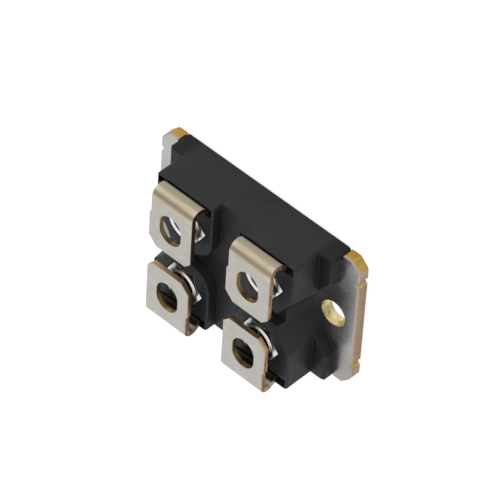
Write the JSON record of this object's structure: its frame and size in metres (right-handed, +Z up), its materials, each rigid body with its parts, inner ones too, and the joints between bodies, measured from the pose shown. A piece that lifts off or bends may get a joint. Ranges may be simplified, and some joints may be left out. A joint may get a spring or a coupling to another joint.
{
  "type": "power module",
  "caption": "Flat power transistor module: metal baseplate with end mounting holes, dark moulded cap, and folded plated screw terminals over captive nuts.",
  "frame": {"origin": "centre of the baseplate's mounting face", "axes": "+X from one mounting hole to the other, +Y across the plate, +Z up to the terminal tops"},
  "size_m": [0.0382, 0.0252, 0.012],
  "materials": {
    "plate_nickel": "satin nickel plating on copper, bare copper at the sheared edges",
    "cap_plastic": "satin moulded plastic",
    "strap_plating": "satin plating on copper, bare copper at the cut edges",
    "nut_zinc": "bright plating",
    "adhesive": "matt",
    "solder": "satin",
    "copper": "satin bare copper",
    "ceramic": "matt white ceramic",
    "silicon": "polished silicon with metal areas",
    "ribbon": "rolled aluminium",
    "gel": "clear soft gel"
  },
  "bodies": {
    "root": {"base_solder": "solder", "baseplate": "plate_nickel", "chip": "silicon", "chip_solder": "solder", "housing": "cap_plastic", "housing_adhesive": "adhesive", "nut_drain": "nut_zinc", "nut_gate": "nut_zinc", "nut_sense": "nut_zinc", "nut_source": "nut_zinc", "pad_drain": "copper", "pad_gate": "copper", "pad_sense": "copper", "pad_source": "copper", "ribbon_gate": "ribbon", "ribbon_sense": "ribbon", "ribbons_source": "ribbon", "silicone_gel": "gel", "solder_drain": "solder", "solder_gate": "solder", "solder_sense": "solder", "solder_source": "solder", "substrate_ceramic": "ceramic", "substrate_copper": "copper", "terminal_drain": "strap_plating", "terminal_gate": "strap_plating", "terminal_sense": "strap_plating", "terminal_source": "strap_plating"}
  },
  "joints": []
}
